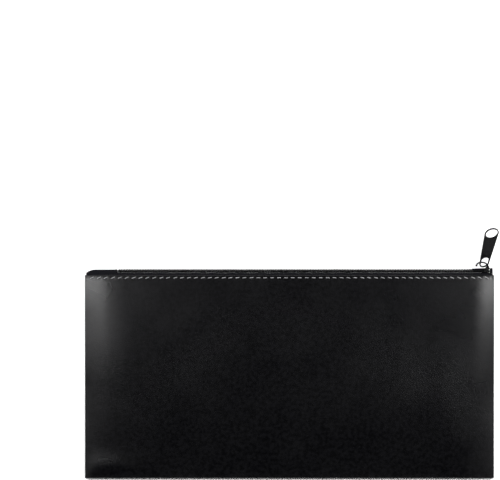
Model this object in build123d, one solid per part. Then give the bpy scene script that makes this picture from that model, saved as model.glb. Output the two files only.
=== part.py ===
from build123d import *
import math
import os

# Flat zipped cash deposit bag lying on its back panel, in millimetres.
# +X runs along the zip from its bottom stop to its top stops, +Y from the bottom seam to
# the zip, +Z out of the front panel. The origin is the middle of the back panel's flat face.

# Driving dimensions
bag_length = 280.0
bag_height = 143.0
zip_plane_z = 5.85
leather = 0.7
seam_gap = 0.56
hem_turn = 10.0
hem_below_chain = 3.9
stitch_below_hem = 1.8
stitch_pitch = 4.74
seam_stitch_pitch = 3.2
tape_thickness = 0.45
tape_edge = 0.75
coil_height = 2.3
coil_outer = 2.7
coil_inner = 0.8
slider_length = 12.2
slider_left_at_rest = 124.9
lip_cut_length = 4.1
crown_wire = 1.05
puller_length = 37.8
puller_eye_diameter = 8.3
puller_thickness = 1.0
puller_lean = 13.0
puller_tilt = 44.0
puller_twist = 24.0
stitch_length = 3.3
stitch_width = 0.5
stitch_thickness = 0.26
stitch_clearance = 0.15
corner_step_width = 1.2
corner_step_height = 0.6
crown_width = 60
cord_radius = 0.5
cord_above_coil_foot = 1.05
thread_groove_depth = 0.32
thread_groove_half = 0.35
stop_clearance = 0.4
stop_length = 1.5
stop_above_chain = 0.9
crown_above_chain = 4.85
crown_x = 132.0
plate_top = 72.0
loop_radius = 3.4
slot_half_width = 2.55
slot_start = 0.85
slot_end = 9.4
rim_width = 0.85
eye_rim_width = 0.9
recess_depth = 0.2

# Worked out from the driving dimensions
half_length = bag_length / 2
chain_top = bag_height / 2
bottom_y = -bag_height / 2
hem_top = chain_top - hem_below_chain
front_z = 2 * zip_plane_z
side_edge = 5 * leather
tape_top = chain_top - coil_height - 0.1
tape_middle = tape_top - tape_thickness / 2
tape_run = zip_plane_z - 2 * leather - 0.05 - tape_thickness
slider_right = slider_left_at_rest + slider_length
coil_start = -117.5
coil_end = 137.2


def write(shape, node):
    """Write one sub-part to its own STEP file."""
    export_step(shape, "parts/" + node + ".step")


def block(x, y, z):
    """A box from its lowest and highest X, Y and Z."""
    size = (x[1] - x[0], y[1] - y[0], z[1] - z[0])
    centre = ((x[0] + x[1]) / 2, (y[0] + y[1]) / 2, (z[0] + z[1]) / 2)
    return Pos(*centre) * Box(*size)


def mirrored(shape):
    """The same piece on the other side of the plane through the middle of the zip."""
    return mirror(shape, about=Plane.XY.offset(zip_plane_z))


# Body of the bag

def station(y, edge_height, middle_height, inset):
    """One cross-section of the bag: flat back, upright side edges and a crowned front."""
    across = half_length - inset
    rise = middle_height - edge_height
    steps = [0, 6, 14, 26, 40, crown_width]
    crown = [edge_height + rise * (1 - (1 - d / crown_width) ** 2.5) for d in steps]
    left = [(-across + d, z - inset) for d, z in zip(steps, crown)]
    right = [(-x, z) for x, z in reversed(left)]
    outline = [(-across, inset)] + left + right + [(across, inset)]
    return make_face(Polyline(*[(x, y, z) for x, z in outline], close=True))


def pillow(inset, top_y):
    """The bag's filled shape, shrunk by inset on every side but the open top."""
    stations = [
        station(bottom_y + inset, side_edge, side_edge + 0.1, inset),
        station(-58, side_edge, 6.2, inset),
        station(-30, side_edge, 8.2, inset),
        station(15, side_edge + 0.6, 10.3, inset),
        station(hem_top - hem_turn, front_z - 0.6, front_z, inset),
        station(top_y, front_z - 0.2, front_z, inset),
    ]
    return loft(stations, ruled=True)


def seam_line():
    """Side and bottom seam in side view: low along the sides, rising to the zip."""
    corner = side_edge / 2
    return [(bottom_y - 1, corner), (15, corner + 0.3), (hem_top + 1, zip_plane_z)]


def seam_slot():
    """The thin gap in which the seam thread lies between the two panels."""
    line = seam_line()
    upper = [(y, z + seam_gap / 2) for y, z in line]
    lower = [(y, z - seam_gap / 2) for y, z in reversed(line)]
    return side_extrusion(upper + lower, bag_length + 4)


def above_seam():
    """Everything on the front panel's side of the seam line."""
    line = seam_line()
    return side_extrusion(line + [(line[-1][0], 40), (line[0][0], 40)], bag_length + 4)


def side_extrusion(points, length):
    """A Y-Z outline extruded along X, centred on the origin."""
    face = make_face(Polyline(*[(0, y, z) for y, z in points], close=True))
    return extrude(face, amount=length / 2, dir=(1, 0, 0), both=True)


def leather_shell():
    """Both panels as one thin skin, open at the zip."""
    outer = pillow(0, hem_top)
    inner = pillow(leather, hem_top + 1)
    return outer - inner - seam_slot()


def hem_return():
    """The turned-in top edge of the front panel."""
    inside = front_z - leather
    return block(
        (-half_length + 1.2, half_length - 1.2),
        (hem_top - hem_turn, hem_top),
        (inside - leather, inside + 0.1),
    )


def stitch_places(span, pitch):
    """Middles of a row of stitches, spread evenly about zero."""
    count = int(span / pitch)
    return [(i - (count - 1) / 2) * pitch for i in range(count)]


def top_stitches(width, length, depth):
    """A row of short bars let into the front hem below its top edge."""
    y = hem_top - stitch_below_hem
    bar = block((-length / 2, length / 2), (y - width / 2, y + width / 2), (front_z - depth, front_z))
    return Compound([Pos(x, 0, 0) * bar for x in stitch_places(bag_length - 1, stitch_pitch)])


def top_thread():
    """The visible stitches of the row that holds the hem to the zip tape."""
    return Pos(0, 0, -0.04) * top_stitches(stitch_width, stitch_length, stitch_thickness)


def thread_pockets():
    """Room for the visible stitches, a little larger than they are."""
    room = 2 * stitch_clearance
    return top_stitches(stitch_width + room, stitch_length + room, stitch_thickness + 0.08)


def front_panel(shell):
    corner_step = block(
        (half_length - corner_step_width, half_length + 1),
        (hem_top - corner_step_height, hem_top + 1),
        (0, 40),
    )
    return (shell & above_seam()) + hem_return() - thread_pockets() - corner_step


def back_panel(shell):
    return (shell - above_seam()) + mirrored(hem_return()) - mirrored(thread_pockets())


def seam_height(y):
    """Height of the seam line at a place along the side."""
    (y0, z0), (y1, z1), (y2, z2) = seam_line()
    if y < y1:
        return z0 + (z1 - z0) * (y - y0) / (y1 - y0)
    return z1 + (z2 - z1) * (y - y1) / (y2 - y1)


def seam_stitch(length):
    """One stitch of the hidden seam, along X, with rounded ends."""
    radius = 0.2
    rod = Cylinder(radius, length - 2 * radius, rotation=(0, 90, 0))
    ends = [Pos(s * (length / 2 - radius), 0, 0) * Sphere(radius) for s in (-1, 1)]
    return rod + ends[0] + ends[1]


def side_seam(side):
    """Seam stitches up one side, each turned to follow the seam line."""
    stitch = seam_stitch(2.6)
    stitches = []
    for y in stitch_places(bag_height - 10, seam_stitch_pitch):
        slope = math.atan2(seam_height(y - 1.5) - seam_height(y - 2.5), 1)
        place = Location((side * (half_length - 0.35), y - 2, seam_height(y - 2)))
        stitches.append(place * Rot(math.degrees(slope), 0, 0) * Rot(0, 0, 90) * stitch)
    return Compound(stitches)


def bottom_seam():
    stitch = seam_stitch(2.6)
    z = seam_height(bottom_y)
    places = stitch_places(bag_length - 4, seam_stitch_pitch)
    return Compound([Pos(x, bottom_y + 0.35, z) * stitch for x in places])


# Zip

def zip_tape():
    """Woven tape: flat under the coil, then folded down behind the hem."""
    start = (0, tape_middle, zip_plane_z + tape_edge)
    run_z = zip_plane_z + tape_run + tape_thickness / 2
    bend = 0.9
    path = [start, (0, tape_middle, run_z), (0, hem_top - hem_turn + 0.5, run_z)]
    line = FilletPolyline(*path, radius=bend)
    section = Plane(origin=start, x_dir=(1, 0, 0), z_dir=(0, 0, 1))
    strip = sweep(section * Rectangle(bag_length - 2.0, tape_thickness), path=line)
    return strip


def coil_strip():
    """Envelope of one half of the chain, with room for its cord and its sewing thread."""
    middle = (coil_inner + coil_outer) / 2
    y_low = chain_top - coil_height
    outer = block(
        (coil_start, coil_end),
        (y_low, chain_top),
        (zip_plane_z + coil_inner, zip_plane_z + coil_outer),
    )
    edges = outer.edges().filter_by(Axis.X)
    outer = fillet(edges, 0.4)
    bore_place = Pos(0, y_low + cord_above_coil_foot, zip_plane_z + middle)
    bore = bore_place * Cylinder(cord_radius + 0.1, 2 * bag_length, rotation=(0, 90, 0))
    groove = block(
        (-bag_length, bag_length),
        (chain_top - thread_groove_depth, chain_top + 1),
        (zip_plane_z + middle - thread_groove_half, zip_plane_z + middle + thread_groove_half),
    )
    return outer - bore - groove


def coil_cord():
    """Filler cord that lies inside the coil."""
    middle = (coil_inner + coil_outer) / 2
    length = coil_end - coil_start - 0.4
    y = chain_top - coil_height + cord_above_coil_foot
    place = ((coil_start + coil_end) / 2, y, zip_plane_z + middle)
    return Pos(*place) * Cylinder(cord_radius, length, rotation=(0, 90, 0))


def coil_thread():
    """Chain-stitch thread that sews the coil to the tape, along the coil's back."""
    middle = (coil_inner + coil_outer) / 2
    y = chain_top - 0.17
    z = zip_plane_z + middle
    return block((coil_start + 0.2, coil_end - 0.2), (y - 0.11, y + 0.11), (z - 0.25, z + 0.25))


def top_stop():
    """Clamp on one tape's edge that keeps the slider from running off the end."""
    start = slider_right + stop_clearance
    x = (start, start + stop_length)
    across = (zip_plane_z + 0.3, zip_plane_z + 2.6)
    upper = block(x, (tape_top + 0.05, chain_top + stop_above_chain), across)
    under = tape_top - tape_thickness - 0.05
    lower = block(x, (under - 0.6, under), across)
    web = block(x, (under - 0.6, tape_top + 0.2), (across[0], zip_plane_z + tape_edge - 0.05))
    clamp = upper + lower + web
    return fillet(clamp.faces().sort_by(Axis.Y)[-1].edges(), 0.35)


def bottom_stop():
    """Block that joins both coils where the chain starts."""
    x = (coil_start - 2.2, coil_start - 0.05)
    under = tape_top - tape_thickness - 0.05
    across = (zip_plane_z - 2.8, zip_plane_z + 2.8)
    upper = block(x, (tape_top + 0.05, chain_top), across)
    lower = block(x, (under - 0.6, under), across)
    web = block(x, (under - 0.1, tape_top + 0.1), (zip_plane_z - 0.6, zip_plane_z + 0.6))
    stop = upper + lower + web
    return fillet(stop.faces().sort_by(Axis.Y)[-1].edges(), 0.5)


# Slider and puller

def slider_outline(tail, shoulder, trim):
    """Slider plate in plan: narrow tail, wide rounded shoulders."""
    left = slider_left_at_rest + trim
    right = slider_right - trim
    points = [(left, -tail), (left + 4.5, -tail), (right - 3.5, -shoulder), (right, -shoulder * 0.86)]
    across = [(x, -z) for x, z in reversed(points)]
    face = make_face(Polyline(*(points + across), close=True))
    return fillet(face.vertices(), 0.9)


def slider_prism(tail, shoulder, trim, y_low, y_high):
    """The plan outline carried between two heights above the tape."""
    plan = Plane(origin=(0, y_low, zip_plane_z), x_dir=(1, 0, 0), z_dir=(0, 1, 0))
    return extrude(plan * slider_outline(tail, shoulder, trim), amount=y_high - y_low, dir=(0, 1, 0))


def crown_path():
    """The crown's centre line: an open hook from its foot to its free tip."""
    top = (crown_x, chain_top + crown_above_chain, zip_plane_z)
    foot = JernArc(start=top, tangent=(1, 0, 0), radius=4.1, arc_size=-76)
    rise = JernArc(start=top, tangent=(-1, 0, 0), radius=7.0, arc_size=20)
    tip = JernArc(start=rise @ 1, tangent=rise % 1, radius=2.6, arc_size=55)
    return foot, rise, tip


def crown():
    """Round wire hook over the slider that the puller's loop hangs on."""
    foot, rise, tip = crown_path()
    pieces = []
    for arc in (foot, rise, tip):
        section = Plane(origin=arc @ 0, z_dir=arc % 0)
        pieces.append(sweep(section * Circle(crown_wire / 2), path=arc))
    bead = Pos(*(tip @ 1)) * Sphere(crown_wire / 2 + 0.12)
    base = block((134.0, 137.0), (plate_top, plate_top + 0.7), (zip_plane_z - 0.9, zip_plane_z + 0.9))
    return pieces[0] + pieces[1] + pieces[2] + bead + base + crown_foot()


def crown_foot():
    """Tapered pedestal from the top plate to the root of the hook."""
    wide = Plane(origin=(135.4, plate_top + 0.2, zip_plane_z), x_dir=(1, 0, 0), z_dir=(0, 1, 0))
    narrow = Plane(origin=(135.8, plate_top + 2, zip_plane_z), x_dir=(1, 0, 0), z_dir=(0, 1, 0))
    return loft([wide * Rectangle(3.0, 1.5), narrow * Rectangle(1.1, 1.0)])


def slider_body():
    """Top plate with side lips, bottom plate, the post between them and the crown."""
    channel_top = chain_top + 0.22
    lip_low = tape_top + 0.25
    plate = slider_prism(3.75, 4.6, 0, lip_low, chain_top + 1.3)
    slope = Plane(origin=(slider_left_at_rest, chain_top + 0.5, 0), z_dir=(-0.04, 1, 0))
    plate = split(plate, bisect_by=slope, keep=Keep.BOTTOM)
    plate = fillet(plate.faces().sort_by(Axis.Y)[-1].edges(), 0.3)
    channel = slider_prism(3.0, 3.85, -0.95, lip_low - 1, channel_top)
    open_x = (slider_right - lip_cut_length, slider_right + 1)
    open_shoulder = block(open_x, (lip_low - 1, channel_top), (zip_plane_z - 6, zip_plane_z + 6))
    under = tape_top - tape_thickness - 0.25
    lower = slider_prism(2.9, 3.3, 0.5, under - 1.05, under)
    lower = fillet(lower.faces().sort_by(Axis.Y)[0].edges(), 0.35)
    post = slider_post(under - 0.1, channel_top + 0.1)
    return (plate - channel - open_shoulder) + lower + post + crown()


def slider_post(y_low, y_high):
    """Pointed post at the shoulder end that parts the two coils."""
    plan = Plane(origin=(0, y_low, zip_plane_z), x_dir=(1, 0, 0), z_dir=(0, 1, 0))
    lens = [(131.4, 0), (133.2, -0.5), (136.2, -0.5), (136.6, 0), (136.2, 0.5), (133.2, 0.5)]
    face = make_face(plan * Polyline(*lens, close=True))
    return extrude(face, amount=y_high - y_low, dir=(0, 1, 0))


def puller_frame():
    """The puller's own plane: X across it, Y along it, origin at its looped end."""
    lean, tilt, twist = (math.radians(a) for a in (puller_lean, puller_tilt, puller_twist))
    along = Vector(math.sin(lean) * math.cos(tilt), math.cos(lean) * math.cos(tilt), math.sin(tilt))
    level = along.cross(Vector(0, 0, 1)).normalized()
    across = level * math.cos(twist) + along.cross(level) * math.sin(twist)
    foot = Vector(132.7, chain_top + 1.6, zip_plane_z - 2.4)
    return Plane(origin=foot, x_dir=across, z_dir=across.cross(along))


def puller_eye_centre():
    return puller_length - puller_eye_diameter / 2 - eye_rim_width


def tapered_tab(loop_radius, eye_radius, eye_y):
    """Outline of two circles, one at each end, joined by their outer tangents."""
    lean = math.asin((eye_radius - loop_radius) / (eye_y - loop_radius))
    loop_x = loop_radius * math.cos(lean)
    loop_y = loop_radius - loop_radius * math.sin(lean)
    eye_x = eye_radius * math.cos(lean)
    eye_side_y = eye_y - eye_radius * math.sin(lean)
    lines = [
        ThreePointArc((loop_x, loop_y), (0, 0), (-loop_x, loop_y)),
        Line((-loop_x, loop_y), (-eye_x, eye_side_y)),
        ThreePointArc((-eye_x, eye_side_y), (0, eye_y + eye_radius), (eye_x, eye_side_y)),
        Line((eye_x, eye_side_y), (loop_x, loop_y)),
    ]
    return make_face(lines)


def puller():
    """Flat tapered tab: round eye at the free end, slot for the crown at the other."""
    eye_y = puller_eye_centre()
    eye_radius = puller_eye_diameter / 2
    outer = tapered_tab(loop_radius, eye_radius + eye_rim_width, eye_y)
    slot_length = slot_end - slot_start
    slot_middle = (slot_end + slot_start) / 2
    slot_width = 2 * slot_half_width
    rims = 2 * rim_width
    slot = Pos(0, slot_middle) * SlotOverall(slot_length, slot_width, rotation=90)
    slot_rim = Pos(0, slot_middle) * SlotOverall(slot_length + rims, slot_width + rims, rotation=90)
    eye = Pos(0, eye_y) * Circle(eye_radius)
    eye_rim = Pos(0, eye_y) * Circle(eye_radius + rim_width)
    tab = extrude(outer - slot - eye, amount=puller_thickness / 2, both=True)
    faces = tab.faces().sort_by(Axis.Z)
    tab = fillet(faces[0].edges() + faces[-1].edges(), 0.2)
    inner = tapered_tab(loop_radius - rim_width, eye_radius + 0.05, eye_y - rim_width)
    panel = Pos(0, rim_width) * inner - slot_rim - eye_rim
    for side in (-1, 1):
        cut = extrude(panel, amount=1, dir=(0, 0, side))
        tab -= Pos(0, 0, side * (puller_thickness / 2 - recess_depth)) * cut
    return puller_frame() * tab


os.makedirs("parts", exist_ok=True)
skin = leather_shell()
write(front_panel(skin), "front_panel")
write(back_panel(skin), "back_panel")
for name, piece in (
    ("zip_tape", zip_tape()),
    ("coil", coil_strip()),
    ("coil_cord", coil_cord()),
    ("coil_thread", coil_thread()),
    ("top_stop", top_stop()),
    ("topstitch", top_thread()),
):
    write(piece, "front_" + name)
    write(mirrored(piece), "back_" + name)
write(bottom_stop(), "bottom_stop")
write(side_seam(-1), "left_seam_thread")
write(side_seam(1), "right_seam_thread")
write(bottom_seam(), "bottom_seam_thread")
write(slider_body(), "slider_body")
write(puller(), "puller")
# Place and direction of the mount in the puller's eye
print("puller eye", puller_frame().from_local_coords((0, puller_eye_centre(), 0)))
print("puller eye axis", puller_frame().z_dir)
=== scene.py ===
import math

import bmesh
import bpy
import numpy as np
from bpy.props import FloatProperty, FloatVectorProperty, PointerProperty
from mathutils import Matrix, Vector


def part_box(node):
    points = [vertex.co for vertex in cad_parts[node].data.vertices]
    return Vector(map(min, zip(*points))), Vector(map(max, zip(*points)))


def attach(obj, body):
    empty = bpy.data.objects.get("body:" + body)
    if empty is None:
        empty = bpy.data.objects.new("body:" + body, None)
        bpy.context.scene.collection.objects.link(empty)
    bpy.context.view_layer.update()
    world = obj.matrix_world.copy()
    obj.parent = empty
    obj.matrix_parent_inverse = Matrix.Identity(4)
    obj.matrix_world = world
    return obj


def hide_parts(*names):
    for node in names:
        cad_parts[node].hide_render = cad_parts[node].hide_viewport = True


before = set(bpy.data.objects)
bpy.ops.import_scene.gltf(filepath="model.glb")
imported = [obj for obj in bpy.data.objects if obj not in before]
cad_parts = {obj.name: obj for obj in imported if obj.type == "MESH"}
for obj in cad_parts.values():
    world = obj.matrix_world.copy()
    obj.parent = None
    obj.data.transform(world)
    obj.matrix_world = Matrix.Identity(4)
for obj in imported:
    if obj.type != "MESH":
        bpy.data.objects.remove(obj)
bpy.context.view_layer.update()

bl_info = {
    "name": "Cash deposit bag",
    "version": (1, 0, 0),
    "blender": (4, 5, 0),
    "location": "3D View > Sidebar > Deposit Bag",
    "description": "Builds the leather panels, zip and stitching of a flat zipped deposit bag",
    "category": "Add Mesh",
}

MM = 0.001
TINY = 1e-9  # keeps a division by a length that may be zero safe
WELD_DISTANCE = 1e-7  # in metres


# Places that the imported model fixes, in millimetres

def node_span(node, axis):
    """Lowest and highest place of a node along one axis, in millimetres."""
    low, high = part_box(node)
    return low[axis] / MM, high[axis] / MM


HALF_LENGTH = node_span("front_panel", 0)[1]
BOTTOM = node_span("front_panel", 1)[0]
HEM_TOP = node_span("front_panel", 1)[1]
FRONT_Z = node_span("front_panel", 2)[1]
ZIP_Z = FRONT_Z / 2
CHAIN_TOP = node_span("front_coil", 1)[1]
COIL_LOW = node_span("front_coil", 1)[0]
CHAIN_START, CHAIN_END = node_span("front_coil", 0)
TAPE_END = node_span("front_zip_tape", 0)[1]
TAPE_TOP = COIL_LOW - 0.1
SLIDER_RIGHT = node_span("slider_body", 0)[1]
STITCH_Y = sum(node_span("front_topstitch", 1)) / 2

# Sizes that several pieces share, in millimetres

SIDE_EDGE = 3.5  # the front's height above the floor along the bottom seam
SEAM_GAP = 0.56  # between the two panels' outer faces where they turn in at a seam
EDGE_RADIUS = 0.73  # the round shoulder of a panel's turned edge
FOLD_RADIUS = 0.7  # half the thickness of the folded hem
HEM_TURN = 10.0  # the depth of the hem's turning
SEAM_STITCH_PITCH = 3.2
SEAM_THREAD_RADIUS = 0.2
TAPE_THICKNESS = 0.44
RAISED_START = SLIDER_RIGHT + 0.02  # the tapes' tucked ends, right of the slider
FIRST_TURN = 0.4  # from the chain's start to the coils' first turn


# Small helpers

def linear(hex_colour):
    """An sRGB hex colour as linear red, green, blue and an alpha of 1."""
    parts = [int(hex_colour[i:i + 2], 16) / 255 for i in (1, 3, 5)]
    return tuple(c / 12.92 if c <= 0.04045 else ((c + 0.055) / 1.055) ** 2.4 for c in parts) + (1.0,)


def smooth_step(t):
    """0 below 0, 1 above 1 and an even S-curve between."""
    t = np.clip(t, 0, 1)
    return t * t * (3 - 2 * t)


def grid_quads(rows, columns, wrap_columns=False):
    """Corner numbers of the quads of a rows x columns grid, joined round across the columns if asked."""
    r = np.arange(rows - 1)[:, None]
    c = np.arange(columns if wrap_columns else columns - 1)[None, :]
    right = (c + 1) % columns
    corners = (r * columns + c, r * columns + right, (r + 1) * columns + right, (r + 1) * columns + c)
    return np.stack(np.broadcast_arrays(*corners), axis=-1).reshape(-1, 4)


def repeated_quads(quads, points_each, count):
    """The same quads for count copies of a shape that are stored one after the other."""
    return (quads[None] + points_each * np.arange(count)[:, None, None]).reshape(-1, 4)


def make_piece(name, points, quads, uv=None):
    """A smooth-shaded mesh object from points in millimetres and quads; uv is one pair a point."""
    mesh = bpy.data.meshes.new(name)
    points = np.asarray(points, np.float32).reshape(-1, 3) * MM
    quads = np.asarray(quads, np.int32)
    mesh.vertices.add(len(points))
    mesh.vertices.foreach_set("co", points.ravel())
    mesh.loops.add(quads.size)
    mesh.loops.foreach_set("vertex_index", quads.ravel())
    mesh.polygons.add(len(quads))
    mesh.polygons.foreach_set("loop_start", np.arange(0, quads.size, 4, dtype=np.int32))
    mesh.polygons.foreach_set("use_smooth", np.ones(len(quads), bool))
    mesh.update(calc_edges=True)
    if uv is not None:
        layer = mesh.uv_layers.new(name="UVMap")
        layer.data.foreach_set("uv", np.asarray(uv, np.float32).reshape(-1, 2)[quads.ravel()].ravel())
    piece = bpy.data.objects.new(name, mesh)
    bpy.context.collection.objects.link(piece)
    return piece


def weld(piece):
    """Join points that lie on one another, which closes the ends where rings shrink to nothing."""
    work = bmesh.new()
    work.from_mesh(piece.data)
    bmesh.ops.remove_doubles(work, verts=work.verts, dist=WELD_DISTANCE)
    work.to_mesh(piece.data)
    work.free()


def finish_piece(piece, material, slot, body, *replaced):
    """Give a finished piece its material, its body and the nodes it stands for; slot is not used."""
    weld(piece)
    piece.data.materials.append(material)
    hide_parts(*replaced)
    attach(piece, body)


def tube(path, radius, sides, axis):
    """Round rod along a path: at each point a ring of the given radius, square to the path.

    The ring's two directions are the cross product of the path's direction with a fixed axis,
    and the cross product of that with the path's direction.
    """
    along = np.gradient(path, axis=0)
    along /= np.linalg.norm(along, axis=1, keepdims=True)
    first = np.cross(along, axis)
    first /= np.linalg.norm(first, axis=1, keepdims=True)
    second = np.cross(along, first)
    angle = np.linspace(0, 2 * np.pi, sides, endpoint=False)
    ring = first[:, None] * np.cos(angle)[None, :, None] + second[:, None] * np.sin(angle)[None, :, None]
    return path[:, None] + ring * np.asarray(radius).reshape(-1, 1, 1)


def run_length(path):
    """Distance from the path's first point to each of its points."""
    steps = np.linalg.norm(np.diff(path, axis=0), axis=1)
    return np.concatenate([[0], np.cumsum(steps)])


# Materials

# The Wave texture draws 20 / (2 pi) bands a unit at scale 1, here rounded.
BANDS_PER_UNIT = 3.2


def cell_scale(size_mm):
    """Texture scale at which a noise or Voronoi cell is that many millimetres wide."""
    return 1 / (size_mm * MM)


def band_scale(spacing_mm):
    """Texture scale at which a Wave texture's bands are that many millimetres apart."""
    return cell_scale(spacing_mm) / BANDS_PER_UNIT


def add_node(tree, kind, settings=None, **links):
    """Add a node, set its sockets or attributes, and link sockets given as (node, output)."""
    node = tree.nodes.new(kind)
    for key, value in (settings or {}).items():
        if isinstance(key, int) or key in node.inputs:
            node.inputs[key].default_value = value
        else:
            setattr(node, key, value)
    for key, (source, output) in links.items():
        tree.links.new(source.outputs[output], node.inputs[key.replace("_", " ")])
    return node


def new_material(name, colour, roughness, **sockets):
    """A material whose shader has its linear colour and uniform values on its own sockets."""
    material = bpy.data.materials.new(name)
    material.use_nodes = True
    shader = material.node_tree.nodes["Principled BSDF"]
    shader.inputs["Base Color"].default_value = colour
    shader.inputs["Roughness"].default_value = roughness
    for key, value in sockets.items():
        shader.inputs[key.replace("_", " ")].default_value = value
    return material, material.node_tree, shader


def leatherette_material():
    """Polyurethane-coated knit, embossed by a roller.

    The eye sees a black skin with a soft satin shine, a fine pebble grain, painted shade in the
    hollows of its creases, and a slow unevenness of the shine where the backing shows through.
    """
    settings = bpy.context.scene.deposit_bag
    material, tree, shader = new_material("coated_leatherette", linear("#0a0a0b"), 0.3,
                                          Specular_IOR_Level=0.24)
    place = add_node(tree, "ShaderNodeTexCoord")
    pebbles = add_node(tree, "ShaderNodeTexVoronoi",
                       {"feature": "SMOOTH_F1", "Scale": 1 / settings.grain_size, "Smoothness": 0.6},
                       Vector=(place, "Object"))
    creases = add_node(tree, "ShaderNodeTexNoise", {"Scale": cell_scale(2.4), "Detail": 5.0},
                       Vector=(place, "Object"))
    backing = add_node(tree, "ShaderNodeTexNoise", {"Scale": cell_scale(26), "Detail": 2.0},
                       Vector=(place, "Object"))
    relief = add_node(tree, "ShaderNodeMath", {"operation": "MULTIPLY_ADD", 1: 0.12})
    tree.links.new(creases.outputs["Fac"], relief.inputs[0])
    tree.links.new(pebbles.outputs["Distance"], relief.inputs[2])
    bump = add_node(tree, "ShaderNodeBump", {"Strength": 0.7, "Distance": 0.07 * MM},
                    Height=(relief, "Value"))
    tree.links.new(bump.outputs["Normal"], shader.inputs["Normal"])
    shine = add_node(tree, "ShaderNodeMapRange",
                     {"From Min": 0.3, "From Max": 0.7, "To Min": 0.27, "To Max": 0.32},
                     Value=(backing, "Fac"))
    tree.links.new(shine.outputs["Result"], shader.inputs["Roughness"])
    # Painted shade: the colour darkens towards #010102 where the crease noise is low, in the hollows of
    # the creases.
    darker_where_low = add_node(tree, "ShaderNodeMapRange", {"From Min": 0.38, "From Max": 0.62},
                      Value=(creases, "Fac"))
    tone = add_node(tree, "ShaderNodeMix", {"data_type": "RGBA"})
    tone.inputs[6].default_value = linear("#010102")
    tone.inputs[7].default_value = (*settings.leather_colour, 1)
    tree.links.new(darker_where_low.outputs["Result"], tone.inputs[0])
    tree.links.new(tone.outputs[2], shader.inputs["Base Color"])
    return material


def tape_material():
    """Polyester tape woven in a close rib.

    The eye sees a dull, slightly blue black, with fine ribs across the tape and warp threads
    along it. The weave is drawn at 0.8 and 0.6 mm, about twice its real spacing, so that it shows.
    """
    material, tree, shader = new_material("woven_zip_tape", linear("#08080a"), 0.7,
                                          Specular_IOR_Level=0.05)
    place = add_node(tree, "ShaderNodeTexCoord")
    ribs = add_node(tree, "ShaderNodeTexWave",
                    {"bands_direction": "X", "Scale": band_scale(0.8), "Distortion": 0.4},
                    Vector=(place, "UV"))
    warp = add_node(tree, "ShaderNodeTexWave",
                    {"bands_direction": "Y", "Scale": band_scale(0.6), "Distortion": 0.4},
                    Vector=(place, "UV"))
    weave = add_node(tree, "ShaderNodeMath", {"operation": "MAXIMUM"})
    tree.links.new(ribs.outputs["Fac"], weave.inputs[0])
    tree.links.new(warp.outputs["Fac"], weave.inputs[1])
    bump = add_node(tree, "ShaderNodeBump", {"Strength": 0.6, "Distance": 0.08 * MM},
                    Height=(weave, "Value"))
    tree.links.new(bump.outputs["Normal"], shader.inputs["Normal"])
    # Painted shade and highlight: the colour is darker in the hollows of the weave and lighter on its
    # raised threads.
    tone = add_node(tree, "ShaderNodeMix", {"data_type": "RGBA"})
    tone.inputs[6].default_value = linear("#050507")
    tone.inputs[7].default_value = linear("#0f0f13")
    tree.links.new(weave.outputs["Value"], tone.inputs[0])
    tree.links.new(tone.outputs[2], shader.inputs["Base Color"])
    return material


def coil_material():
    """Nylon monofilament, drawn and heat-set into a coil.

    The eye sees smooth black plastic with a clear highlight on every turn and faint draw lines.
    """
    material, tree, shader = new_material("nylon_monofilament", linear("#060607"), 0.15,
                                          Specular_IOR_Level=0.4)
    place = add_node(tree, "ShaderNodeTexCoord")
    draw = add_node(tree, "ShaderNodeTexNoise", {"Scale": cell_scale(0.5), "Detail": 3.0},
                    Vector=(place, "Object"))
    shine = add_node(tree, "ShaderNodeMapRange",
                     {"From Min": 0.3, "From Max": 0.7, "To Min": 0.12, "To Max": 0.18},
                     Value=(draw, "Fac"))
    tree.links.new(shine.outputs["Result"], shader.inputs["Roughness"])
    bump = add_node(tree, "ShaderNodeBump", {"Strength": 0.1, "Distance": 0.03 * MM},
                    Height=(draw, "Fac"))
    tree.links.new(bump.outputs["Normal"], shader.inputs["Normal"])
    return material


def twisted_thread(name, hollow, crown, shine):
    """Thread whose plies are slanted waves between two linear colours: painted shade in the hollows,
    painted highlight on the crowns.
    """
    material, tree, shader = new_material(name, crown, 0.45, Specular_IOR_Level=shine)
    place = add_node(tree, "ShaderNodeTexCoord")
    turn = add_node(tree, "ShaderNodeMapping", {"Rotation": (0, 0, math.radians(38))},
                    Vector=(place, "Object"))
    plies = add_node(tree, "ShaderNodeTexWave",
                     {"bands_direction": "X", "Scale": band_scale(0.35), "Distortion": 0.3},
                     Vector=(turn, "Vector"))
    bump = add_node(tree, "ShaderNodeBump", {"Strength": 0.5, "Distance": 0.06 * MM},
                    Height=(plies, "Fac"))
    tree.links.new(bump.outputs["Normal"], shader.inputs["Normal"])
    # Painted shade and highlight: the hollow colour where the ply waves are low, the crown colour where
    # they are high.
    tone = add_node(tree, "ShaderNodeMix", {"data_type": "RGBA"})
    tone.inputs[6].default_value = hollow
    tone.inputs[7].default_value = crown
    tree.links.new(plies.outputs["Fac"], tone.inputs[0])
    tree.links.new(tone.outputs[2], shader.inputs["Base Color"])
    return material


def sewing_thread_material():
    """Three-ply bonded polyester sewing thread, dark, drawn light grey as painted highlight.

    The eye sees light plies laid round each other at a slant, standing out on the black leather; their
    lightness is painted highlight, and the darker hollows are painted shade.
    """
    # Painted highlight: the light grey crown colour stands in for the glints on the dark thread.
    crown = (*bpy.context.scene.deposit_bag.thread_colour, 1)
    return twisted_thread("sewing_thread_painted_highlight", linear("#5c5c5e"), crown, 0.5)


def chain_thread_material():
    """Spun polyester thread and cord of the zip's chain.

    The eye sees dull black plies at a slant.
    """
    # Painted shade and highlight: #050506 in the hollows between the plies, #0e0e10 on their crowns.
    return twisted_thread("black_spun_thread", linear("#050506"), linear("#0e0e10"), 0.1)


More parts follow.
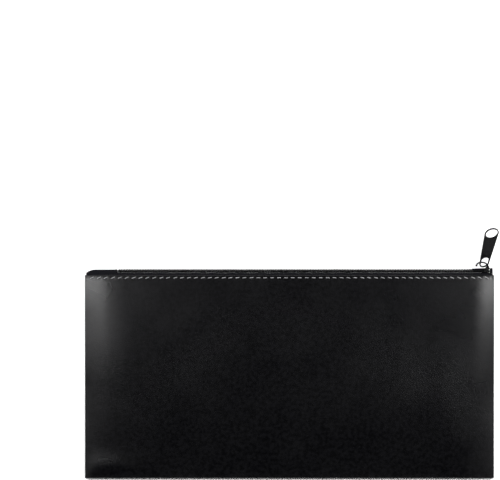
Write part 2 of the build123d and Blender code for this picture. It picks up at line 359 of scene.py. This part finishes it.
def enamel_material():
    """Baked black enamel on a zinc die casting.

    The eye sees an even, semi-gloss black with a faint orange-peel, a little duller where
    fingers have rubbed it.
    """
    material, tree, shader = new_material("black_baked_enamel", linear("#050506"), 0.3,
                                          Specular_IOR_Level=0.06)
    place = add_node(tree, "ShaderNodeTexCoord")
    peel = add_node(tree, "ShaderNodeTexNoise", {"Scale": cell_scale(0.9), "Detail": 2.0},
                    Vector=(place, "Object"))
    rubbed = add_node(tree, "ShaderNodeTexNoise", {"Scale": cell_scale(6), "Detail": 3.0},
                      Vector=(place, "Object"))
    shine = add_node(tree, "ShaderNodeMapRange",
                     {"From Min": 0.35, "From Max": 0.7, "To Min": 0.24, "To Max": 0.36},
                     Value=(rubbed, "Fac"))
    tree.links.new(shine.outputs["Result"], shader.inputs["Roughness"])
    bump = add_node(tree, "ShaderNodeBump", {"Strength": 0.5, "Distance": 0.06 * MM},
                    Height=(peel, "Fac"))
    tree.links.new(bump.outputs["Normal"], shader.inputs["Normal"])
    return material


def stop_material():
    """Acetal stops, injection moulded onto the tape.

    The eye sees plain black plastic with the soft sparkle of a spark-eroded mould.
    """
    material, tree, shader = new_material("moulded_acetal", linear("#08080a"), 0.4,
                                          Specular_IOR_Level=0.15)
    place = add_node(tree, "ShaderNodeTexCoord")
    grain = add_node(tree, "ShaderNodeTexNoise", {"Scale": cell_scale(0.25), "Detail": 2.0},
                     Vector=(place, "Object"))
    bump = add_node(tree, "ShaderNodeBump", {"Strength": 0.25, "Distance": 0.03 * MM},
                    Height=(grain, "Fac"))
    tree.links.new(bump.outputs["Normal"], shader.inputs["Normal"])
    return material


MATERIAL_MAKERS = {
    "coated_leatherette": leatherette_material,
    "woven_zip_tape": tape_material,
    "nylon_monofilament": coil_material,
    "sewing_thread_painted_highlight": sewing_thread_material,
    "black_spun_thread": chain_thread_material,
    "black_baked_enamel": enamel_material,
    "moulded_acetal": stop_material,
}


def material_named(name):
    """The material of that name, made the first time it is asked for."""
    return bpy.data.materials.get(name) or MATERIAL_MAKERS[name]()


# Shape of the bag's body

def seam_height(y):
    """Height of the side and bottom seam: nearly level along the bag, then up to the zip."""
    level_end = 15
    level_lift = 0.3
    past_hem = 1
    low = SIDE_EDGE / 2
    return np.interp(y, [BOTTOM, level_end, HEM_TOP + past_hem], [low, low + level_lift, ZIP_Z])


def edge_height(y):
    """Height of the front panel at its sides: an S-curve from the flat part up to the zip."""
    rise_start = -60
    rise_length = 120
    below_hem = 0.3
    rise = FRONT_Z - below_hem - SIDE_EDGE
    return SIDE_EDGE + rise * smooth_step((y - rise_start) / rise_length)


def middle_height(y):
    """Height of the front panel along its middle: one minus a power of the distance from the zip."""
    level_strip = 8
    roundness = 2.2
    t = np.clip((y - BOTTOM) / (HEM_TOP - level_strip - BOTTOM), 0, 1)
    return SIDE_EDGE + (FRONT_Z - SIDE_EDGE) * (1 - (1 - t) ** roundness)


def nearness(distance, reach):
    """1 at the edge that the distance is measured from, falling evenly to 0 at the reach."""
    return np.clip(1 - distance / reach, 0, 1)


def end_pinch(x):
    """Share of the height that is left at the zip's ends, which the side seams draw down.

    A power of the nearness to each end is taken away, more and from further off on the left.
    """
    left_reach, left_depth, left_power = 30, 0.16, 2.5
    right_reach, right_depth, right_power = 12, 0.05, 2.2
    left = nearness(x + HALF_LENGTH, left_reach)
    right = nearness(HALF_LENGTH - x, right_reach)
    return 1 - left_depth * left ** left_power - right_depth * right ** right_power


def body_pinch(x, y):
    """The zip's pinch, fading out down the sides."""
    fade_start = -10
    fade_length = 50
    return 1 - (1 - end_pinch(x)) * smooth_step((y - fade_start) / fade_length)


def bell(x, y, place, spread):
    """A bell-shaped rise of height 1 at a place, with its spread along x and along y."""
    return np.exp(-((x - place[0]) / spread[0]) ** 2 - ((y - place[1]) / spread[1]) ** 2)


def slow_waves(x, y):
    """Unevenness of an empty bag: long, low waves in seeded directions, and two soft rises.

    The waves and the large rise fade out over a wide border. The small one, low on the left,
    fades out over a narrow border only.
    """
    steepness = 0.0010
    stretch = 0.8
    large_rise, small_rise = 2.0, 1.3
    wide_border, narrow_border = 36, 8
    rng = np.random.default_rng(7)
    height = np.zeros_like(x)
    for length in (150, 110, 82, 61, 47):
        turn = rng.uniform(0, np.pi)
        phase = rng.uniform(0, 2 * np.pi)
        along = x * np.cos(turn) * stretch + y * np.sin(turn)
        height += steepness * length * np.sin(2 * np.pi * along / length + phase)
    height += large_rise * bell(x, y, (58, -22), (44, 34))
    corner = small_rise * bell(x, y, (-120, -65), (20, 9))
    inset = np.minimum.reduce([HALF_LENGTH - abs(x), y - BOTTOM, HEM_TOP - y])
    return height * smooth_step(inset / wide_border) + corner * smooth_step(inset / narrow_border)


def front_height(x, y):
    """Front panel: side height plus a crown that rises from the sides as a power curve.

    A squared roll takes down the last few millimetres at each side, and towards the zip the
    whole end is pinched.
    """
    crown_width = 42
    crown_power = 2.5
    roll_depth = 1.1
    left_roll, right_roll = 17, 15
    roll_start = -50
    roll_length = 45
    crown = 1 - nearness(HALF_LENGTH - abs(x), crown_width) ** crown_power
    level = edge_height(y) + (middle_height(y) - edge_height(y)) * crown
    left = nearness(x + HALF_LENGTH, left_roll)
    right = nearness(HALF_LENGTH - x, right_roll)
    rolled = roll_depth * (left ** 2 + right ** 2)
    level = level - rolled * smooth_step((y - roll_start) / roll_length)
    return level * body_pinch(x, y) + slow_waves(x, y)


def back_height(x, y):
    """Back panel: flat on the surface that the bag lies on."""
    return np.zeros_like(x)


def stitch_middles(pitch):
    """Middles of the stitches in a row along the hem, evenly spaced about the bag's middle."""
    end_margin = 0.5
    count = int((2 * HALF_LENGTH - 2 * end_margin) / pitch)
    return (np.arange(count) - (count - 1) / 2) * pitch


def pucker(x, y, pitch):
    """Height of the leather along a stitch row, measured from the smooth face.

    A shallow trough is pulled down under each stitch, and the leather puffs up between them.
    Across the row each is a bell; along it each follows a raised cosine with the stitch pitch.
    The whole face lies as much lower as the puffs are high.
    """
    trough_width, trough_depth, pull_depth = 0.75, 0.08, 0.18
    puff_width, puff_height = 1.3, 0.06
    across = y - STITCH_Y
    along = 0.5 + 0.5 * np.cos(2 * np.pi * (x - stitch_middles(pitch)[0]) / pitch)
    pulled = np.exp(-(across / trough_width) ** 2) * (trough_depth + pull_depth * along ** 1.5)
    raised = np.exp(-(across / puff_width) ** 2) * puff_height * (1 - along) ** 2
    return raised - pulled - puff_height


def edge_profile(t, drop):
    """Turned edge in section: a round shoulder, an upright wall, and a round turn to the seam.

    t runs from 0 at the face to 1 at the seam. Returns the outward offset and the drop.
    """
    round_share = 0.35
    wall_share = 0.3
    shoulder = np.minimum(EDGE_RADIUS, drop / 2)
    first = np.clip(t / round_share, 0, 1) * np.pi / 2
    wall = np.clip((t - round_share) / wall_share, 0, 1)
    last = np.clip((t - round_share - wall_share) / round_share, 0, 1) * np.pi / 2
    offset = EDGE_RADIUS * np.sin(first) - shoulder * (1 - np.cos(last))
    fall = shoulder * (1 - np.cos(first)) + wall * (drop - 2 * shoulder) + shoulder * np.sin(last)
    return offset, fall


def panel_points(height, side, pitch):
    """One leather panel as a grid: bottom turn, face, hem fold and the hem's return.

    The face is height(x, y). Outside it, the grid's overshoot past the face's edge picks a point
    of the edge profile, taken outwards along the overshoot's direction, so corners come out
    round. The hem is half a turn about a line below the face, then a strip back down; both are
    offset along the face's inward normal. side is 1 for the front and -1 for the back.
    """
    columns, face_rows, stitch_rows = 480, 44, 16
    edge_steps, fold_steps, return_steps = 12, 9, 4
    stitch_strip = 3.2
    turn = np.linspace(0, 1, edge_steps + 1)
    flat_x = np.linspace(-HALF_LENGTH + EDGE_RADIUS, HALF_LENGTH - EDGE_RADIUS, columns)
    x = np.concatenate([np.full(edge_steps, flat_x[0]), flat_x, np.full(edge_steps, flat_x[-1])])
    over_x = np.concatenate([-turn[:0:-1], np.zeros(columns), turn[1:]])
    near_hem = STITCH_Y - stitch_strip
    face_y = np.linspace(BOTTOM + EDGE_RADIUS, near_hem, face_rows)
    hem_y = np.linspace(near_hem, HEM_TOP - FOLD_RADIUS, stitch_rows + 1)[1:]
    y = np.concatenate([np.full(edge_steps, face_y[0]), face_y, hem_y])
    over_y = np.concatenate([turn[:0:-1], np.zeros(face_rows + stitch_rows)])
    gx, gy = np.meshgrid(x, y)
    ox, oy = np.meshgrid(over_x, over_y)
    reach = np.maximum(abs(ox), oy)
    length = np.maximum(np.hypot(ox, oy), TINY)
    face = height(gx, gy)
    seam = seam_height(gy) * body_pinch(gx, gy)
    offset, fall = edge_profile(reach, side * (face - seam) - SEAM_GAP / 2)
    relief = pucker(gx, gy, pitch) * (reach == 0)
    px = gx + offset * ox / length
    py = gy - offset * oy / length
    pz = face + side * (relief - fall)
    sheet = np.stack([px, py, pz], axis=-1)
    top = sheet[-1]
    along = np.gradient(top[:, [0, 2]], axis=0)
    along /= np.maximum(np.linalg.norm(along, axis=1, keepdims=True), TINY)
    inward = np.stack([along[:, 1], np.zeros(len(top)), -along[:, 0]], axis=-1) * side
    angle = np.linspace(0, np.pi, fold_steps + 1)[1:, None, None]
    up = np.array([0.0, 1.0, 0.0])
    fold = top + inward * FOLD_RADIUS * (1 - np.cos(angle)) + up * FOLD_RADIUS * np.sin(angle)
    back = np.linspace(0, HEM_TURN - FOLD_RADIUS, return_steps + 1)[1:, None, None]
    return np.concatenate([sheet, fold, fold[-1] - up * back])


def leather_panel(name, height, side, settings):
    """A leather panel of real thickness, with its outer side outwards."""
    points = panel_points(height, side, settings.stitch_pitch / MM)
    quads = grid_quads(*points.shape[:2])
    if side < 0:
        quads = quads[:, ::-1]
    piece = make_piece(name, points, quads)
    solidify = piece.modifiers.new("leather thickness", "SOLIDIFY")
    solidify.thickness = settings.leather_thickness
    solidify.offset = -1
    return piece


# Stitches

def stitch_radii(t, radius):
    """Radius along a stitch, t from -1 to 1: even, with round ends that close to a point."""
    end_power = 8
    return radius * np.sqrt(1 - t ** end_power)


def stitch_row(name, height, side, settings):
    """A row of stitches: each one a bowed rod whose ends dip into the needle holes.

    The bow is one minus a square, to a power, over the stitch. The slant is a linear drift across
    the row that changes sign along the bag, and the rod thins to nothing at both ends. The back
    row lies deeper, so that it stays above the surface that the bag lies on.
    """
    steps, sides = 15, 10
    half_share = 0.28
    bow_height, bow_power, hole_depth = 0.42, 0.6, 0.4
    end_slant, slant_spread, place_spread = 0.5, 0.04, 0.12
    lift = 0.02 if side > 0 else -0.33
    pitch = settings.stitch_pitch / MM
    t = np.linspace(-1, 1, steps)
    radius = settings.thread_diameter / MM / 2
    bow = bow_height * (1 - t ** 2) ** bow_power - hole_depth
    path = np.stack([t * pitch * half_share, np.zeros(steps), bow], axis=-1)
    rod = tube(path, stitch_radii(t, radius), sides, (0, 1, 0))
    middles = stitch_middles(pitch)
    count = len(middles)
    rng = np.random.default_rng(11)
    slant = -end_slant * middles / HALF_LENGTH + rng.uniform(-slant_spread, slant_spread, count)
    place = middles + rng.uniform(-place_spread, place_spread, count)
    copies = np.tile(rod, (count, 1, 1, 1))
    copies[..., 1] += slant[:, None, None] * copies[..., 0] + STITCH_Y
    copies[..., 0] += place[:, None, None]
    copies[..., 2] = height(copies[..., 0], copies[..., 1]) + side * (copies[..., 2] + lift)
    quads = grid_quads(steps, sides, wrap_columns=True)
    if side < 0:
        quads = quads[:, ::-1]
    return make_piece(name, copies, repeated_quads(quads, steps * sides, count))


def seam_stitches(name, start, end):
    """Hidden stitches along a seam from start to end: short rods that follow the seam's height.

    Each rod is a ring carried along the seam, and it thins to nothing at both ends.
    """
    steps, sides = 9, 8
    half_stitch = 1.3
    start = np.array(start, float)
    end = np.array(end, float)
    length = np.linalg.norm(end - start)
    count = int(length / SEAM_STITCH_PITCH)
    middles = (np.arange(count) + 0.5) * length / count
    t = np.linspace(-1, 1, steps)
    ways = (middles[:, None] + t * half_stitch) / length
    plan = start + (end - start) * ways[..., None]
    height = seam_height(plan[..., 1]) * body_pinch(plan[..., 0], plan[..., 1])
    path = np.concatenate([plan, height[..., None]], axis=-1)
    radius = stitch_radii(t, SEAM_THREAD_RADIUS)
    angle = np.linspace(0, 2 * np.pi, sides, endpoint=False)
    across = np.array([end[1] - start[1], start[0] - end[0], 0]) / length
    up = np.array([0, 0, 1.0])
    ring = np.cos(angle)[:, None] * across + np.sin(angle)[:, None] * up
    rods = path[:, :, None] + radius[:, None, None] * ring
    quads = grid_quads(steps, sides, wrap_columns=True)[:, ::-1]
    return make_piece(name, rods, repeated_quads(quads, steps * sides, count))


# Zip

def tape_section():
    """Tape in section, as its middle line and the offset from there to its outer face.

    Points are (height, distance from the zip's middle). The line runs flat under the coil,
    round a quarter turn, and down behind the hem.
    """
    flat_steps, bend_steps, down_steps = 9, 7, 7
    half = TAPE_THICKNESS / 2
    bend = 0.9
    first = 0.75
    hem_play = 0.05
    past_hem = 0.6
    flat = TAPE_TOP - half
    run = ZIP_Z - 2 * FOLD_RADIUS - hem_play - half
    out = np.linspace(first, run - bend, flat_steps)
    angle = np.linspace(0, np.pi / 2, bend_steps + 1)[1:]
    down = np.linspace(flat - bend, HEM_TOP - HEM_TURN + past_hem, down_steps + 1)[1:]
    y = np.concatenate([np.full(flat_steps, flat), flat - bend * (1 - np.cos(angle)), down])
    z = np.concatenate([out, run - bend + bend * np.sin(angle), np.full(down_steps, run)])
    line = np.stack([y, z], axis=-1)
    along = np.gradient(line, axis=0)
    along /= np.linalg.norm(along, axis=1, keepdims=True)
    normal = np.stack([along[:, 1], -along[:, 0]], axis=-1)
    return line, normal * half


def zip_tape(name, side):
    """One tape: its section carried along the zip, closed at both cut ends.

    At both ends the flat part rises to the chain's height or past it. At the bottom end it also
    closes up against the other tape, and its last millimetres fall away as part of an ellipse.
    """
    closing_length = 1.0
    closing_shift = 0.74
    rise_left, rise_right = -0.1, 0.6
    free_end, free_fade = 2.6, 1.6
    corner_length, corner_drop, corner_limit = 7.5, 5.0, 0.98
    hidden_share = 0.35
    closed_columns, chain_columns, tucked_columns = 70, 230, 13
    tuck_width = 0.04
    line, offset = tape_section()
    x = np.concatenate([
        np.linspace(-TAPE_END, CHAIN_START, closed_columns),
        np.linspace(CHAIN_START, RAISED_START, chain_columns)[1:],
        np.linspace(RAISED_START + tuck_width, TAPE_END, tucked_columns),
    ])
    ring = np.concatenate([line + offset, (line - offset)[::-1]])
    y = np.tile(ring[:, 0], (len(x), 1))
    z = np.tile(ring[:, 1], (len(x), 1))
    closed = smooth_step((CHAIN_START - x) / closing_length)[:, None]
    free = 1 - smooth_step((z - free_end) / free_fade)
    raised = (x > RAISED_START)[:, None]
    y += closed * free * (CHAIN_TOP - TAPE_TOP + rise_left)
    y += raised * free * (CHAIN_TOP - TAPE_TOP + rise_right)
    z -= closed * free * closing_shift
    end = nearness(x + HALF_LENGTH, corner_length)[:, None]
    rounded = 1 - np.sqrt(1 - np.minimum(end, corner_limit) ** 2)
    y -= corner_drop * rounded * (hidden_share + (1 - hidden_share) * free)
    z = (ZIP_Z + side * z) * end_pinch(x)[:, None]
    points = np.stack([np.broadcast_to(x[:, None], y.shape), y, z], axis=-1)
    caps = (points + points[:, ::-1]) / 2
    points = np.concatenate([caps[:1], points, caps[-1:]])
    around = run_length(np.concatenate([line, line[::-1]]))
    along = np.concatenate([x[:1], x, x[-1:]])
    uv = np.stack(np.broadcast_arrays(along[:, None] * MM, around[None, :] * MM), axis=-1)
    quads = grid_quads(len(points), len(ring), wrap_columns=True)
    if side < 0:
        quads = quads[:, ::-1]
    return make_piece(name, points, quads, uv)


def spread_at_slider(x):
    """How far each coil is pushed aside in the open end of the slider: an S-curve of 1 mm."""
    spread_start = SLIDER_RIGHT - 7.5
    spread_length = 5.0
    return smooth_step((x - spread_start) / spread_length)


def coil_path(side, settings):
    """Centre line of one coil: a flattened helix with a head that reaches past the middle.

    Height follows a sine and reach a cosine, both drawn out towards a rounded box by a power;
    the two coils are half a pitch apart, so that their heads lie between each other.
    """
    steps = 18
    reach_middle, reach_half = 1.12, 1.62
    wide_power, high_power = 0.7, 0.75
    lean = 0.1
    offset = 0.5 if side < 0 else 0.0
    pitch = settings.coil_pitch / MM
    turns = int((CHAIN_END - CHAIN_START) / pitch)
    t = np.arange(turns * steps + 1) / steps
    c = np.cos(2 * np.pi * t)
    s = np.sin(2 * np.pi * t)
    wide = np.sign(c) * abs(c) ** wide_power
    high = np.sign(s) * abs(s) ** high_power
    radius = settings.coil_wire / MM / 2
    y = (CHAIN_TOP + COIL_LOW) / 2 + high * ((CHAIN_TOP - COIL_LOW) / 2 - radius)
    x = CHAIN_START + FIRST_TURN + pitch * (t + offset) - lean * s
    z = ZIP_Z + side * (reach_middle + wide * reach_half + spread_at_slider(x))
    return np.stack([x, y, z * end_pinch(x)], axis=-1)


def closed_rod(name, path, radius, sides, axis):
    """A round rod of even thickness along a path, shrunk to a point at both ends."""
    radii = np.full(len(path), radius)
    radii[[0, -1]] = 0
    rod = tube(path, radii, sides, axis)
    return make_piece(name, rod, grid_quads(len(path), sides, wrap_columns=True))


def coil(name, side, settings):
    """One half of the chain: the wire carried round its flattened helix."""
    sides = 7
    radius = settings.coil_wire / MM / 2
    return closed_rod(name, coil_path(side, settings), radius, sides, (1, 0, 0.001))


def coil_thread(name, side, settings):
    """Chain-stitch thread on a coil's back: a rod that rides over each turn and dips between."""
    end_margin = 0.6
    steps_per_turn = 6
    reach, wander = 1.75, 0.12
    radius, sides = 0.15, 6
    below_top = 0.1
    pitch = settings.coil_pitch / MM
    x = np.arange(CHAIN_START + end_margin, CHAIN_END - end_margin, pitch / steps_per_turn)
    phase = 2 * np.pi * (x - CHAIN_START - FIRST_TURN) / pitch
    y = CHAIN_TOP - below_top + wander * np.cos(phase - np.pi / 2)
    z = ZIP_Z + side * (reach + wander * np.sin(phase / 2) + spread_at_slider(x))
    return closed_rod(name, np.stack([x, y, z], axis=-1), radius, sides, (0, 0, 1))


# Settings, operators and panel

class DepositBagSettings(bpy.types.PropertyGroup):
    """Sizes and colours of the bag that a user may change."""
    stitch_pitch: FloatProperty(name="Stitch pitch", description="Spacing of the hem's stitches",
                                default=0.00474, min=0.002, max=0.008, unit="LENGTH")
    thread_diameter: FloatProperty(name="Thread", description="Thickness of the sewing thread",
                                   default=0.0006, unit="LENGTH")
    leather_thickness: FloatProperty(name="Leather", description="Thickness of the coated leather",
                                     default=0.0006, unit="LENGTH")
    grain_size: FloatProperty(name="Grain", description="Width of one pebble of the grain",
                              default=0.0006, unit="LENGTH")
    coil_pitch: FloatProperty(name="Coil pitch", description="Length of zip for each turn of a coil",
                              default=0.00182, unit="LENGTH")
    coil_wire: FloatProperty(name="Coil wire", description="Thickness of the coil's monofilament",
                             default=0.00072, unit="LENGTH")
    leather_colour: FloatVectorProperty(name="Leather colour", description="Colour of the coating",
                                        default=linear("#08080a")[:3], min=0, max=1, subtype="COLOR")
    # Painted highlight: the thread's crowns are drawn light grey and stand in for its glints.
    thread_colour: FloatVectorProperty(name="Thread colour", description="Colour of the thread's crowns",
                                       default=linear("#a6a6a8")[:3], min=0, max=1, subtype="COLOR")
    floor_colour: FloatVectorProperty(name="Floor", description="Colour of the floor",
                                      default=(0.96, 0.96, 0.96), min=0, max=1, subtype="COLOR")


class BAG_OT_leather(bpy.types.Operator):
    """Make the front and back leather panels"""
    bl_idname = "deposit_bag.leather"
    bl_label = "Leather panels"

    def execute(self, context):
        settings = context.scene.deposit_bag
        for name, height, side in (("front", front_height, 1), ("back", back_height, -1)):
            piece = leather_panel(name + "_leather", height, side, settings)
            finish_piece(piece, material_named("coated_leatherette"), "pu_leather",
                         "bag", name + "_panel")
        return {"FINISHED"}


class BAG_OT_stitching(bpy.types.Operator):
    """Sew both hems and the three closed seams"""
    bl_idname = "deposit_bag.stitching"
    bl_label = "Stitching"

    def execute(self, context):
        settings = context.scene.deposit_bag
        for name, height, side in (("front", front_height, 1), ("back", back_height, -1)):
            piece = stitch_row(name + "_hem_stitches", height, side, settings)
            finish_piece(piece, material_named("sewing_thread_painted_highlight"),
                         "sewing_thread", "bag", name + "_topstitch")
        inset = 0.35
        side_margin, bottom_margin = 3, 2
        side_stitches = 42
        edge = HALF_LENGTH - inset
        bottom = BOTTOM + inset
        low = BOTTOM + side_margin
        high = low + side_stitches * SEAM_STITCH_PITCH
        corner = HALF_LENGTH - bottom_margin
        seams = {
            "left": ((-edge, low), (-edge, high)),
            "right": ((edge, low), (edge, high)),
            "bottom": ((-corner, bottom), (corner, bottom)),
        }
        for name, (start, end) in seams.items():
            piece = seam_stitches(name + "_seam_stitches", start, end)
            finish_piece(piece, material_named("sewing_thread_painted_highlight"),
                         "sewing_thread", "bag", name + "_seam_thread")
        return {"FINISHED"}


class BAG_OT_tapes(bpy.types.Operator):
    """Weave the two zip tapes"""
    bl_idname = "deposit_bag.tapes"
    bl_label = "Zip tapes"

    def execute(self, context):
        for name, side in (("front", 1), ("back", -1)):
            piece = zip_tape(name + "_zip_tape_cloth", side)
            finish_piece(piece, material_named("woven_zip_tape"), "zip_tape_cloth",
                         "bag", name + "_zip_tape")
            width = run_length(tape_section()[0])[-1] * MM
        return {"FINISHED"}


class BAG_OT_chain(bpy.types.Operator):
    """Wind both coils and sew them to the tape"""
    bl_idname = "deposit_bag.chain"
    bl_label = "Zip chain"

    def execute(self, context):
        settings = context.scene.deposit_bag
        for name, side in (("front", 1), ("back", -1)):
            finish_piece(coil(name + "_coil_turns", side, settings),
                         material_named("nylon_monofilament"), "zip_coil",
                         "bag", name + "_coil")
            finish_piece(coil_thread(name + "_coil_sewing", side, settings),
                         material_named("black_spun_thread"), "zip_thread",
                         "bag", name + "_coil_thread")
        return {"FINISHED"}


class BAG_OT_hardware(bpy.types.Operator):
    """Finish the slider, the puller, the stops and the coils' filler cords"""
    bl_idname = "deposit_bag.hardware"
    bl_label = "Hardware finishes"

    def execute(self, context):
        finishes = {
            "black_baked_enamel": ("slider_body", "puller"),
            "moulded_acetal": ("front_top_stop", "back_top_stop", "bottom_stop"),
            "black_spun_thread": ("front_coil_cord", "back_coil_cord"),
        }
        for finish, nodes in finishes.items():
            for node in nodes:
                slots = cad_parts[node].material_slots
                if not slots:
                    raise RuntimeError("node " + node + " has no material slot")
                for slot in slots:
                    slot.material = material_named(finish)
        return {"FINISHED"}


class BAG_OT_stage(bpy.types.Operator):
    """Set the pale floor, the soft lights and the camera"""
    bl_idname = "deposit_bag.stage"
    bl_label = "Stage"

    def execute(self, context):
        make_floor(context.scene.deposit_bag.floor_colour)
        make_lights()
        make_camera()
        return {"FINISHED"}


def make_floor(colour):
    """A plain pale sheet that the bag lies on, faintly mottled like matt paper."""
    half = 6000.0
    level = -0.05
    corners = [(-half, -half, level), (half, -half, level), (half, half, level), (-half, half, level)]
    floor = make_piece("studio_floor", corners, [[0, 1, 2, 3]])
    material, tree, shader = new_material("matt_white_paper", linear("#f4f4f4"), 0.9)
    place = add_node(tree, "ShaderNodeTexCoord")
    darker_where_low = add_node(tree, "ShaderNodeTexNoise", {"Scale": cell_scale(3), "Detail": 2.0},
                      Vector=(place, "Object"))
    tone = add_node(tree, "ShaderNodeMix", {"data_type": "RGBA"})
    tone.inputs[6].default_value = (*colour, 1)
    tone.inputs[7].default_value = (0.98, 0.98, 0.98, 1)
    tree.links.new(darker_where_low.outputs["Fac"], tone.inputs[0])
    tree.links.new(tone.outputs[2], shader.inputs["Base Color"])
    floor.data.materials.append(material)


def area_light(name, place, size, power):
    """A soft box of the given size in metres and power in watts, facing the bag's middle."""
    light = bpy.data.lights.new(name, "AREA")
    light.shape = "RECTANGLE"
    light.size, light.size_y = size
    light.energy = power
    lamp = bpy.data.objects.new(name, light)
    bpy.context.collection.objects.link(lamp)
    lamp.location = place
    yaw = math.atan2(place[0], -place[1])
    tilt = math.atan2(math.hypot(place[0], place[1]), place[2])
    lamp.rotation_euler = (tilt, 0, yaw)
    lamp.visible_camera = False


def make_lights():
    """Narrow soft boxes close beside the bag, low strips all round, and a dim surround."""
    area_light("soft_box_left", (-0.37, 0.105, 0.34), (0.07, 0.46), 2.4)
    area_light("soft_box_right", (0.38, 0.105, 0.34), (0.06, 0.44), 2.9)
    area_light("low_strip_left", (-1.3, 0.1, 0.30), (0.3, 1.8), 12)
    area_light("low_strip_right", (1.3, 0.1, 0.30), (0.3, 1.8), 12)
    area_light("low_strip_beyond", (0.0, 1.4, 0.35), (1.8, 0.3), 4)
    area_light("low_strip_near", (0.0, -1.4, 0.35), (1.8, 0.3), 7)
    world = bpy.data.worlds.new("dim_surround")
    bpy.context.scene.world = world
    world.use_nodes = True
    background = world.node_tree.nodes["Background"]
    background.inputs["Color"].default_value = linear("#f2f4f6")
    background.inputs["Strength"].default_value = 0.02


def make_camera():
    """A long lens straight above, with the bag low and to the right in the frame."""
    scene = bpy.context.scene
    lens_height = 8.0
    face_height = 0.004
    frame_width = 0.3423
    camera = bpy.data.cameras.new("view_from_above")
    camera.sensor_width = 36
    camera.lens = camera.sensor_width * (lens_height - face_height) / frame_width
    camera.clip_end = 50
    holder = bpy.data.objects.new("view_from_above", camera)
    bpy.context.collection.objects.link(holder)
    holder.location = (-0.0270, 0.0916, lens_height)
    scene.camera = holder
    scene.view_settings.view_transform = "Standard"


class BAG_PT_panel(bpy.types.Panel):
    """Deposit bag builder"""
    bl_idname = "BAG_PT_panel"
    bl_label = "Deposit bag"
    bl_space_type = "VIEW_3D"
    bl_region_type = "UI"
    bl_category = "Deposit Bag"

    def draw(self, context):
        for name in DepositBagSettings.__annotations__:
            self.layout.prop(context.scene.deposit_bag, name)
        for operator in OPERATORS:
            self.layout.operator(operator.bl_idname)


OPERATORS = (BAG_OT_leather, BAG_OT_stitching, BAG_OT_tapes, BAG_OT_chain, BAG_OT_hardware, BAG_OT_stage)
CLASSES = (DepositBagSettings, *OPERATORS, BAG_PT_panel)


def register():
    for each in CLASSES:
        bpy.utils.register_class(each)
    bpy.types.Scene.deposit_bag = PointerProperty(type=DepositBagSettings)


def unregister():
    del bpy.types.Scene.deposit_bag
    for each in reversed(CLASSES):
        bpy.utils.unregister_class(each)


def main():
    """Build the whole bag."""
    register()
    bpy.ops.deposit_bag.leather()
    bpy.ops.deposit_bag.stitching()
    bpy.ops.deposit_bag.tapes()
    bpy.ops.deposit_bag.chain()
    bpy.ops.deposit_bag.hardware()
    bpy.ops.deposit_bag.stage()


if __name__ == "__main__":
    main()
